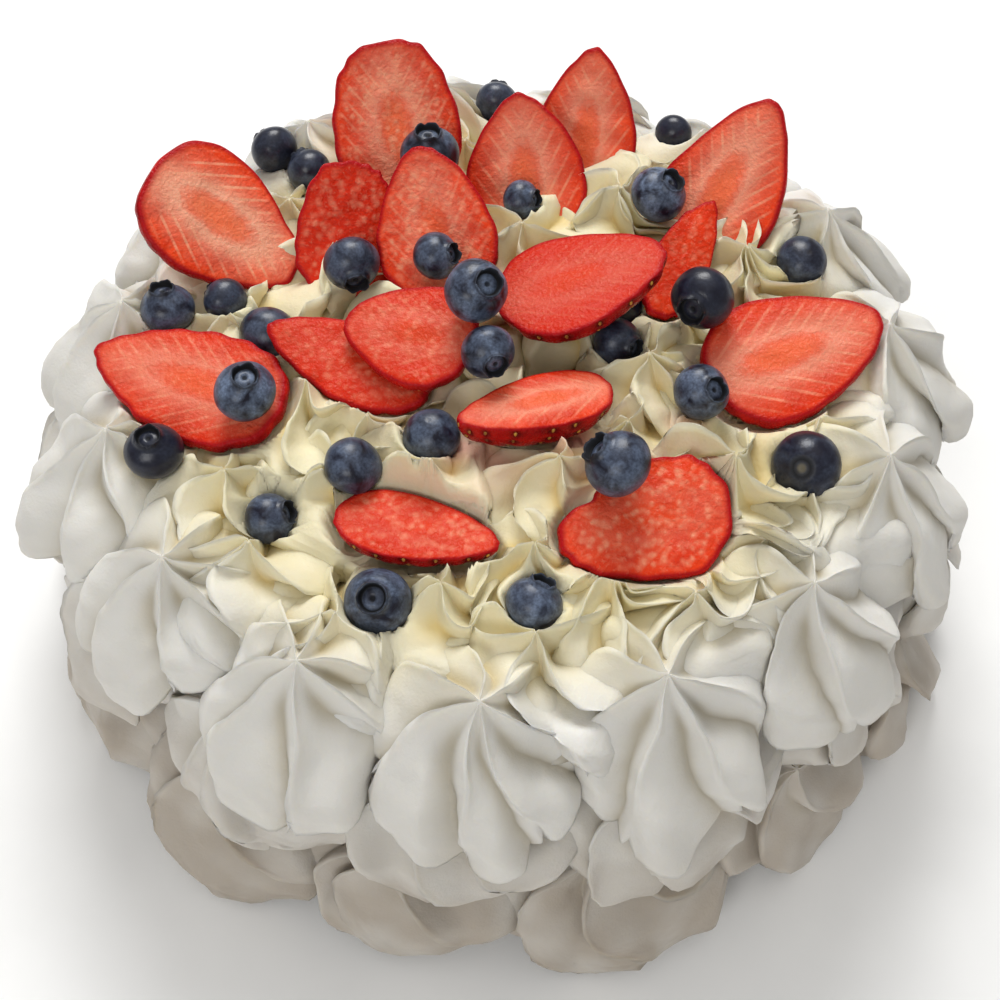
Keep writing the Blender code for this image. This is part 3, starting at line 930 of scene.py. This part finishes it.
SLICES = (
    StrawberrySlice(
        -75, 38, 113, 48, 35, 5, -16, -35, 17,
        point=0.85, pale=1.2, deep=0.0, blotchy=0.2, bites=((52, 26, 0.12), (0, 20, 0.05)),
    ),
    StrawberrySlice(
        -30, 75, 117, 44, 36, 5, 101, 42, -3,
        taper=0.12, point=0.65, pale=0.8, deep=0.2, blotchy=1.0, ragged=0.5,
    ),
    StrawberrySlice(
        -42, 37, 111, 38, 28, 4, 86, 38, 9,
        taper=0.10, point=0.75, pale=0.0, deep=0.9, blotchy=0.6, ragged=1.2,
    ),
    StrawberrySlice(-18, 33, 118, 42, 31, 5, 103, 34, -8, taper=0.32, pale=0.5, blotchy=0.9, ragged=0.3),
    StrawberrySlice(7, 59, 113, 42, 33, 4, 97, 41, -8, point=1.15, pale=0.8),
    StrawberrySlice(25, 76, 112, 46, 29, 4, 81, 45, 2, point=1.15, pale=0.8, deep=0.0, blotchy=0.0),
    StrawberrySlice(
        63, 52, 114, 52, 34, 4, 52, 37, 9,
        point=1.15, pale=0.9, deep=0.1, blotchy=0.0, bites=((70, 30, 0.10),),
    ),
    StrawberrySlice(50, 27, 111, 38, 16, 4, 62, 14, 20, pale=0.0, deep=0.4, blotchy=0.5, ragged=1.0),
    StrawberrySlice(21, 9, 123, 46, 33, 10, 16, 11, -6, belly=0.55, pale=0.2, deep=1.0, blotchy=0.0),
    StrawberrySlice(-23, -6, 119, 35, 28, 4, 163, -3, -12, pale=0.25, deep=0.8, blotchy=0.5, ragged=0.4),
    StrawberrySlice(
        -39, -9, 112, 46, 22, 4, 156, 5, -11, point=1.1, pale=0.1, deep=0.85, blotchy=0.5, ragged=0.6
    ),
    StrawberrySlice(
        -81, -12, 107, 55, 31, 5, 157, -1, -10, point=1.1, pale=0.55, deep=0.6, blotchy=0.3, ragged=0.8
    ),
    StrawberrySlice(9, -27, 117, 42, 18, 11, -158, 8, 6, belly=0.45, pale=0.7),
    StrawberrySlice(
        -20, -58, 108, 41, 19, 8, -12, -2, -5, belly=0.35, pale=0.1, deep=0.65, blotchy=0.7, ragged=0.4
    ),
    StrawberrySlice(
        35, -55, 107, 43, 30, 5, -166, -2, -18,
        taper=0.25, point=0.75, pale=0.2, blotchy=1.0, ragged=0.9,
        bites=((-115, 22, 0.08), (150, 18, 0.06), (-48, 26, 0.20)),
    ),
    StrawberrySlice(
        77, -3, 108, 52, 34, 6, 22, 5, 11,
        point=1.1, pale=0.75, deep=0.5, blotchy=0.0, bites=((180, 35, 0.08),),
    ),
)


@dataclass(frozen=True)
class Fruit:
    """The fruit on top: berries and slices, each in its own node's place, and the slices' seeds."""

    berries: tuple[Blueberry, ...] = BLUEBERRIES
    slices: tuple[StrawberrySlice, ...] = SLICES

    BERRY_SEED = 700
    SLICE_SEED = 800

    def build(
        self, skin: bpy.types.Material, flesh: bpy.types.Material, coat: bpy.types.Material
    ) -> list[bpy.types.Object]:
        """Make every berry, every slice and one piece that holds all the seeds."""
        pieces = []
        for i, berry in enumerate(self.berries, 1):
            piece = berry.surface(self.BERRY_SEED + i).to_object(f"berry_{i:02d}", skin)
            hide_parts(f"blueberry_{i:02d}")
            pieces.append(piece)
        for i, cut in enumerate(self.slices, 1):
            piece = cut.surface(self.SLICE_SEED + i).to_object(f"slice_{i:02d}", flesh)
            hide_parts(f"strawberry_{i:02d}")
            pieces.append(piece)
        seeds = Surface.joined([cut.seeds(self.SLICE_SEED + i) for i, cut in enumerate(self.slices, 1)])
        piece = seeds.to_object("strawberry_seeds", coat)
        pieces.append(piece)
        return pieces


# -------------------- Piped rosettes --------------------


@dataclass(frozen=True)
class PipingStyle:
    """How a star nozzle was used: sizes in metres, angles in degrees, the rest as shares.

    A crest falls evenly by the share slope and then, more steeply for a higher drop_off, by the rest.
    droop is how far the outer petals sag and tilt how far the whole rosette leans outwards. cloth is
    how far the petals hang like cloth near the peak, and valley how far across a petal its fold lies
    there. groove is the folds' depth against the reach and sink their depth in metres. lean is how far
    a crest hangs over the next petal against that petal's width, twist how far crests turn on the way
    down, and sway how much they wave. tuck is how far the skirt is drawn in underneath, lip the ridge
    on each crest and ripple the height of the foam's own unevenness. unevenness sets how much petals
    differ from each other.
    """

    reach: float
    fall: float
    cloth: float
    groove: float
    sink: float
    lean: tuple[float, float]
    twist: tuple[float, float]
    sway: float
    unevenness: float
    ripple: float
    petals: int = 7
    slope: float = 0.30
    drop_off: tuple[float, float] = (2.2, 3.4)
    droop: float = 0.0
    tilt: float = 0.0
    valley: float = 0.62
    tuck: float = 0.42
    lip: float = 0.0017


class Piping(Enum):
    """The three hands of piping on the cake."""

    RIM = PipingStyle(
        reach=0.0285, fall=0.0205, cloth=1.0, groove=0.28, sink=0.0032, lean=(0.10, 0.55), twist=(-12, 26),
        sway=9, unevenness=0.15, ripple=0.0014, droop=0.0125,
    )
    WALL = PipingStyle(
        reach=0.0360, fall=0.0210, cloth=0.8, groove=0.30, sink=0.0036, lean=(0.30, 0.80), twist=(15, 70),
        sway=14, unevenness=0.18, ripple=0.0020, tilt=42,
    )
    FILLING = PipingStyle(
        reach=0.0240, fall=0.0165, cloth=0.90, groove=0.40, sink=0.0070, lean=(0.15, 0.60), twist=(30, 80),
        sway=42, unevenness=0.22, ripple=0.0026, slope=0.14, drop_off=(3.2, 5.5), droop=0.0020,
        valley=0.60, lip=0.0015,
    )


@dataclass(frozen=True)
class Rosette:
    """One piped rosette: sharp crests that run from the peak down to the skirt, with petals between.

    Near the peak the surface hangs between two crests like cloth. Lower down it swells into a lobe
    on one side and dives into a fold under the next crest, which leans over it.
    """

    x: float
    y: float
    peak: float
    style: PipingStyle
    outward: float
    phase: float
    seed: int
    size: float = 1.0

    PANEL_STEPS = 13
    LIP_STEPS = 7
    DOWN_STEPS = 34
    UNDER_STEPS = 7
    CREST = 0.075  # how wide a crest's ridge is, as a share of its petal
    TIP = 0.0035  # height and half width of the tip that the nozzle draws up, in metres
    HEM_ROLL = 0.0012  # how far the skirt's edge rolls down
    HEM_RISE = 0.004  # how far it then rises underneath
    LOWEST = 0.0003  # where the lowest petals stop above the base
    # The foam's unevenness: wavelength, share of the style's ripple, seed, and how it grows with s.
    WAVES = ((0.024, 1.0, 3, 0.5), (0.007, 0.16, 4, 1.0))

    def surface(self) -> Surface:
        """Work out the rosette as rings from its peak, down to the skirt and back under it.

        With s from 0 at the peak to 1 at the skirt, a crest's radius is reach (1.35 s - 0.35 s^3) and
        its drop fall (slope s + (1 - slope) s^e), with e from drop_off. Across a petal, u runs from 0
        at its crest to 1 in its fold and v from 0 in the fold to 1 at the next crest. The fold's depth
        is sin(pi u / 2), then cos(pi v / 2), near the peak, and u^1.8, then 1 - v, at the skirt. Under
        the skirt, t from 0 to 1 draws the rings in and up again.

        Returns:
            The closed surface, with the traits of cream_traits.
        """
        style = self.style
        rng = np.random.default_rng(self.seed)
        count = style.petals

        def per_crest(low: float, high: float) -> np.ndarray:
            """One random value for each crest, with the first one again at the end."""
            values = rng.uniform(low, high, count)
            return np.append(values, values[0])

        panel = np.linspace(0.0, 1.0, self.PANEL_STEPS, endpoint=False)
        lip = np.linspace(0.0, 1.0, self.LIP_STEPS, endpoint=False)
        u = np.tile(np.concatenate([panel, np.ones_like(lip)]), count)[None, :]
        v = np.tile(np.concatenate([np.zeros_like(panel), lip]), count)[None, :]
        petal = np.repeat(np.arange(count), self.PANEL_STEPS + self.LIP_STEPS)
        uneven = style.unevenness
        gaps = 1.0 + rng.uniform(-1.5, 1.5, count) * uneven
        crests = np.append(0.0, np.cumsum(gaps)) / gaps.sum() * math.tau

        down = (np.arange(1, self.DOWN_STEPS + 1) / self.DOWN_STEPS) ** 1.05
        under = np.arange(1, self.UNDER_STEPS + 1) / self.UNDER_STEPS
        s = np.concatenate([down, np.ones(self.UNDER_STEPS)])[:, None]
        t = np.concatenate([np.zeros(self.DOWN_STEPS), under])[:, None]
        low = 1.0 - style.cloth * (1.0 - smooth_step(s, 0.30, 0.85))

        lean = rng.uniform(*style.lean, count)[petal]
        valley = style.valley + lean * smooth_step(s, 0.15, 0.85)
        place = np.where(v > 0.0, valley + (1.0 - valley) * v, valley * u)
        share = smooth_step(place / np.maximum(valley, 1.0), 0.25, 1.0)
        steep = np.where(v > 0.0, np.cos(math.pi / 2.0 * v), np.sin(math.pi / 2.0 * u))
        swollen = np.where(v > 0.0, 1.0 - v, u**1.8)
        depth = (1.0 - low) * steep + low * swollen
        bulge = np.where(v > 0.0, 0.0, np.sin(math.pi * u**0.85)) * low

        def blend(values: np.ndarray) -> np.ndarray:
            """Carry a value of each crest smoothly across the petal to the next crest's."""
            return (1.0 - share) * values[petal] + share * values[petal + 1]

        sway = blend(per_crest(-1.0, 1.0)) * np.sin(math.pi * s**0.8)
        flutter = blend(per_crest(-1.0, 1.0)) * np.sin(math.tau * s**0.9)
        angle = math.radians(self.phase) + crests[petal] + (crests[petal + 1] - crests[petal]) * place
        angle = angle + math.radians(rng.uniform(*style.twist)) * s**1.3
        angle = angle + math.radians(style.sway) * (sway + 0.5 * flutter) * (1.0 - 0.6 * depth)
        outer = np.cos(angle - self.outward)

        fold = style.groove * (0.65 + 0.35 * smooth_step(s, 0.0, 0.4))
        fold = fold * (1.0 - 0.68 * smooth_step(s, 0.5, 1.0))
        radius = style.reach * (1.35 * s - 0.35 * s**3)
        radius = radius * (1.0 + 0.7 * blend(per_crest(-uneven, uneven)) * s)
        radius = radius * (1.0 - fold * depth + 0.11 * bulge)
        crest = np.exp(-np.where(v > 0.0, 1.0 - v, u) / self.CREST)
        radius = radius * (1.0 - 0.06 * crest * smooth_step(s, 0.75, 1.0)) * (0.88 + 0.12 * outer)
        curl = 1.0 - style.tuck * t**1.2 + 0.05 * np.sin(math.pi * np.clip(t * 3.0, 0.0, 1.0))
        radius = radius * curl * self.size

        power = blend(per_crest(*style.drop_off))
        drop = style.fall * (style.slope * s + (1.0 - style.slope) * s**power)
        drop = drop * (1.0 + blend(per_crest(-uneven, uneven)) * s)
        drop = drop * (1.0 - 0.10 * depth * s**2 + 0.05 * bulge)
        drop = drop + style.sink * depth * np.sin(math.pi * s**0.75)
        lips = style.lip * crest * smooth_step(s, 0.03, 0.2) * (1.0 - t)
        tip = self.TIP * np.exp(-radius / self.TIP)
        hem = self.HEM_ROLL * np.sin(math.pi * np.clip(t * 2.0, 0.0, 1.0)) - self.HEM_RISE * t**1.6
        height = (lips + tip - drop - hem) * self.size - style.droop * radius / style.reach * outer
        tilt = math.radians(style.tilt)
        out = radius * outer * math.cos(tilt) + height * math.sin(tilt)
        side = radius * np.sin(angle - self.outward)
        height = height * math.cos(tilt) - radius * outer * math.sin(tilt)
        out_x, out_y = math.cos(self.outward), math.sin(self.outward)
        rings = xyz(
            self.x + out * out_x - side * out_y, self.y + out * out_y + side * out_x, self.peak + height
        )
        for length, part, seed, power in self.WAVES:
            rings = rings + ripple(rings, length, style.ripple * part, seed) * s[..., None] ** power
        rings[..., 2] = np.maximum(rings[..., 2], self.LOWEST)
        first = rings[0].mean(axis=0)
        # Painted shade: deepest in the folds and under the skirt.
        dark = np.clip(depth**3 * smooth_step(s, 0.02, 0.3) + t, 0.0, 1.0)
        return Surface.from_rings(rings, first, rings[-1].mean(axis=0), cream_traits(rings, dark))


IVORY_FADE = (0.080, 0.110)  # from the axis, in metres
# Painted shade towards the base fades out between these heights.
BASE_SHADE_FADE = (0.020, 0.095)  # above the base
# Where juice has run: x, y and half width in mm.
JUICE_SPOTS = (
    (-8, -36, 20), (16, -32, 18), (34, -46, 14), (50, -22, 12), (70, -16, 12), (-30, -18, 14), (0, 18, 18)
)


def cream_traits(points: np.ndarray, fold: np.ndarray) -> dict[str, np.ndarray]:
    """The traits that the cream's finish reads, worked out from where each point lies.

    ivory falls from 1 inside a ring to 0 at the rim, painted shade rises towards the base, and juice is
    the highest of a few bell curves round the spots where slices lean on the cream. fold is painted
    shade in the folds.

    Args:
        points: Points whose last axis holds x, y and z, in metres.
        fold: How deep in a fold each point is, from 0 to 1: how much painted shade it gets.

    Returns:
        The traits ivory and juice and the painted shade of the folds and the base, shaped like fold.
    """
    distance = np.hypot(points[..., 0], points[..., 1])
    ivory = 1.0 - smooth_step(distance, *IVORY_FADE)
    juice = np.zeros_like(distance)
    for x, y, width in JUICE_SPOTS:
        away = np.hypot(points[..., 0] - x * MM, points[..., 1] - y * MM) / (width * MM)
        juice = np.maximum(juice, np.exp(-(away**2) * 2.0))
    grain = ripple(points, 0.016, 0.5, 21)[..., 0]
    juice = np.clip(juice * (0.55 + grain) * 0.75, 0.0, 1.0)
    # Painted shade: darker towards the base, where the rim shades the wall.
    base_shade = 1.0 - smooth_step(points[..., 2], *BASE_SHADE_FADE)
    return {"ivory": ivory, "fold": fold**1.3, "base_shade": base_shade * (0.9 + grain * 0.4), "juice": juice}


@dataclass(frozen=True)
class PipedCase:
    """The meringue case: a wall carrying a rim of rosettes and two tiers below it.

    Each tuple is for the rim, the middle and the bottom tier: how many rosettes, the radius of their
    peaks, their height and the first one's angle. rim_phases turns each rosette of the rim. The
    jitters are the most that a rosette's peak, size and turn differ from the even ones.
    """

    counts: tuple[int, ...] = (15, 13, 14)
    radii: tuple[float, ...] = (0.104, 0.117, 0.121)
    peaks: tuple[float, ...] = (0.105, 0.082, 0.045)
    starts: tuple[float, ...] = (3.5, 15.0, 1.0)
    peak_jitter: float = 0.0012
    size_jitter: float = 0.03
    turn_jitter: float = 45.0
    wall_radius: float = 0.107
    wall_top: float = 0.076
    wall_steps: int = 180
    rim_phases: tuple[float, ...] = (10, 50, 75, 100, 130, 155, 185, 200, 228, 250, 262, 286, 310, 330, 350)

    TIER_SEED = 40

    def rosettes(self, tier: int) -> list[Rosette]:
        """The rosettes of one tier, set on the wall at even angles."""
        style = Piping.RIM.value if tier == 0 else Piping.WALL.value
        rng = np.random.default_rng(self.TIER_SEED + tier)
        made = []
        for i in range(self.counts[tier]):
            degrees = self.starts[tier] + 360.0 * i / self.counts[tier]
            outward = math.radians(degrees)
            phase = self.rim_phases[i] if tier == 0 else degrees + rng.uniform(0.0, self.turn_jitter)
            rosette = Rosette(
                x=self.radii[tier] * math.cos(outward),
                y=self.radii[tier] * math.sin(outward),
                peak=self.peaks[tier] + rng.uniform(-self.peak_jitter, self.peak_jitter),
                style=style,
                outward=outward,
                phase=phase,
                seed=100 * tier + i,
                size=1.0 + rng.uniform(-self.size_jitter, self.size_jitter),
            )
            made.append(rosette)
        return made

    def wall(self) -> Surface:
        """The wall behind the rosettes: a profile turned round the axis, slightly uneven.

        The profile runs from the top's inner edge over a soft shoulder to the flat base.
        """
        radius = self.wall_radius
        profile = np.array(
            [
                (0.078, self.wall_top - 0.004),
                (0.086, self.wall_top - 0.001),
                (0.098, self.wall_top),
                (radius - 0.007, self.wall_top - 0.004),
                (radius - 0.002, self.wall_top - 0.014),
                (radius, self.wall_top - 0.030),
                (radius, 0.030),
                (radius + 0.002, 0.004),
                (radius + 0.0015, 0.0),
                (radius - 0.012, 0.0),
            ]
        )
        rings = turned(profile[:, 0], profile[:, 1], self.wall_steps)
        loose = (profile[:, 1] > 0.002)[:, None, None]
        rings = rings + ripple(rings, 0.030, 0.0008, 9) * loose
        first = np.array([0.0, 0.0, self.wall_top - 0.006])
        # Painted shade over the whole wall, which lies behind the rosettes.
        traits = cream_traits(rings, np.full(rings.shape[:2], 0.8))
        return Surface.from_rings(rings, first, np.zeros(3), traits)

    def build(self, cream: bpy.types.Material) -> list[bpy.types.Object]:
        """Make the wall and each rosette, in the case's place."""
        pieces = [self.wall().to_object("meringue_wall", cream)]
        for tier, word in enumerate(("rim", "middle", "bottom")):
            for i, rosette in enumerate(self.rosettes(tier), 1):
                pieces.append(rosette.surface().pressed().to_object(f"{word}_rosette_{i:02d}", cream))
        for piece in pieces:
            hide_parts("meringue")
        return pieces


@dataclass(frozen=True)
class Swirl:
    """A small rosette of the filling: place and peak in mm, first crest in degrees, size as a share."""

    x: float
    y: float
    z: float
    phase: float
    size: float = 1.0
    petals: int = 5


SWIRLS = (
    Swirl(-49, -18, 113, 20),
    Swirl(-68, -42, 107, 70),
    Swirl(-42, -42, 111, 10, 0.95),
    Swirl(-17, -44, 115, 50),
    Swirl(-60, -62, 106, 35),
    Swirl(-38, -80, 105, 5, 1.05),
    Swirl(-14, -74, 107, 60, 0.95),
    Swirl(8, -86, 105, 25, 1.05),
    Swirl(8, -64, 109, 0, 0.90),
    Swirl(27, -72, 107, 75, 0.95),
    Swirl(45, -76, 106, 40, 1.05),
    Swirl(57, -42, 113, 15, 1.40, 8),
    Swirl(64, -60, 105, 10, 0.80),
    Swirl(14, -42, 113, 70, 0.90),
    Swirl(38, -10, 113, 30, 1.00, 8),
    Swirl(32, -30, 111, 55, 0.90),
    Swirl(52, -62, 107, 30, 0.90),
    Swirl(34, 50, 112, 10, 1.00, 8),
    Swirl(6, 37, 112, 45, 0.95, 6),
    Swirl(67, 30, 110, 65, 1.15, 8),
    Swirl(79, 5, 106, 20),
    Swirl(58, -14, 110, 40, 1.00, 6),
    Swirl(82, -22, 105, 50, 0.90),
    Swirl(-74, 12, 105, 50),
    Swirl(-82, -14, 104, 15),
    Swirl(-58, 8, 108, 30, 0.95),
    Swirl(-46, 34, 107, 5),
    Swirl(-16, 56, 107, 30, 1.00, 6),
    Swirl(-12, 8, 112, 60, 1.05),
    Swirl(-26, -14, 112, 15, 0.90),
    Swirl(-33, -28, 111, 0, 0.90),
    Swirl(58, 58, 105, 35),
    Swirl(14, 72, 105, 0),
    Swirl(36, 74, 104, 15, 0.95),
    Swirl(78, -44, 105, 50, 0.95),
    Swirl(-60, 54, 104, 25),
    Swirl(-38, 68, 104, 40),
    Swirl(-10, 80, 103, 60, 0.95),
    Swirl(-80, 36, 103, 10, 0.95),
    Swirl(20, 15, 110, 40),
    Swirl(50, 24, 109, 55, 0.95),
    Swirl(0, -22, 112, 20, 0.90),
)


@dataclass(frozen=True)
class CreamFilling:
    """The ivory filling: a bed of cream under crowded, ruffled swirls."""

    edge_radius: float = 0.086
    edge_height: float = 0.082
    top_height: float = 0.094
    under_height: float = 0.072
    rings: int = 24
    steps: int = 160

    SWIRL_SEED = 500

    def bed(self) -> Surface:
        """The bed under the swirls: a dome of height edge + (top - edge)(1 - q^2.7) at a share q."""
        share = np.linspace(0.04, 1.0, self.rings)
        height = self.edge_height + (self.top_height - self.edge_height) * (1.0 - share**2.7)
        radius = np.concatenate([share * self.edge_radius, [self.edge_radius, self.edge_radius * 0.5]])
        height = np.concatenate([height, [self.under_height, self.under_height]])
        rings = turned(radius, height, self.steps)
        rings = rings + ripple(rings, 0.018, 0.0012, 12)
        first = np.array([0.0, 0.0, self.top_height])
        last = np.array([0.0, 0.0, self.under_height])
        # Painted shade over the whole bed, which lies under the swirls.
        traits = cream_traits(rings, np.full(rings.shape[:2], 0.6))
        return Surface.from_rings(rings, first, last, traits)

    def build(self, cream: bpy.types.Material) -> list[bpy.types.Object]:
        """Make the bed and each swirl, in the cream's place."""
        pieces = [self.bed().pressed().to_object("cream_bed", cream)]
        base = Piping.FILLING.value
        for i, swirl in enumerate(SWIRLS, 1):
            rosette = Rosette(
                x=swirl.x * MM,
                y=swirl.y * MM,
                peak=swirl.z * MM,
                style=replace(base, petals=swirl.petals),
                outward=math.atan2(swirl.y, swirl.x),
                phase=swirl.phase,
                seed=self.SWIRL_SEED + i,
                size=swirl.size,
            )
            pieces.append(rosette.surface().pressed().to_object(f"cream_swirl_{i:02d}", cream))
        for piece in pieces:
            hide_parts("cream")
        return pieces


# -------------------- Studio --------------------


@dataclass(frozen=True)
class Studio:
    """A white paper floor, soft daylight from behind, weaker fill from the front left, and a camera.

    The camera stands in front and above, and looks down at the cake.
    """

    camera_place: tuple[float, float, float] = (0.0, -0.238, 0.393)
    camera_pitch: float = 33.4
    lens: float = 50.4
    floor_size: float = 6.0
    aim_height: float = 0.08

    # Each light's name, place and size in metres, and power in watts.
    LIGHTS = (
        ("window", (-0.04, 0.87, 1.10), 0.6, 14.5),
        ("side_window", (-0.40, -0.97, 0.82), 0.5, 4.3),
        ("ceiling", (0.1, 0.1, 1.6), 1.6, 4.0),
    )

    def add_light(self, name: str, place: tuple[float, float, float], size: float, power: float) -> None:
        """Add a square area light that points at the cake's middle."""
        data = bpy.data.lights.new(name, "AREA")
        data.size = size
        data.energy = power
        light = bpy.data.objects.new(name, data)
        light.location = place
        aim = Vector((0.0, 0.0, self.aim_height)) - Vector(place)
        light.rotation_euler = aim.to_track_quat("-Z", "Y").to_euler()
        bpy.context.scene.collection.objects.link(light)

    def build(self) -> None:
        """Make the camera, floor, lights and world."""
        scene = bpy.context.scene
        data = bpy.data.cameras.new("camera")
        data.lens = self.lens
        data.sensor_width = 36.0
        data.clip_start = 0.01
        camera = bpy.data.objects.new("camera", data)
        camera.location = self.camera_place
        camera.rotation_euler = (math.radians(self.camera_pitch), 0.0, 0.0)
        scene.collection.objects.link(camera)
        scene.camera = camera

        half = self.floor_size / 2.0
        mesh = bpy.data.meshes.new("floor")
        corners = [(-half, -half, 0), (half, -half, 0), (half, half, 0), (-half, half, 0)]
        mesh.from_pydata(corners, [], [(0, 1, 2, 3)])
        mesh.materials.append(StudioPaper().build())
        floor = bpy.data.objects.new("floor", mesh)
        scene.collection.objects.link(floor)

        for name, place, size, power in self.LIGHTS:
            self.add_light(name, place, size, power)
        world = bpy.data.worlds.new("studio")
        world.use_nodes = True
        sky = {"Color": (1.0, 0.985, 0.96, 1.0), "Strength": 0.34}
        set_inputs(world.node_tree, world.node_tree.nodes["Background"], sky)
        scene.world = world
        scene.view_settings.view_transform = "Standard"


def main() -> None:
    """Build every sub-assembly in order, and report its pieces."""
    logging.basicConfig(level=logging.INFO, format="%(name)s: %(message)s")
    cream = PipedCream().build()
    assemblies = {
        "case": PipedCase().build(cream),
        "filling": CreamFilling().build(cream),
        "fruit": Fruit().build(BerrySkin().build(), StrawberryFlesh().build(), SeedCoat().build()),
    }
    for name, pieces in assemblies.items():
        for piece in pieces:
            log.info("%s: %s, %d faces", name, piece.name, len(piece.data.polygons))
    Studio().build()


if __name__ == "__main__":
    main()
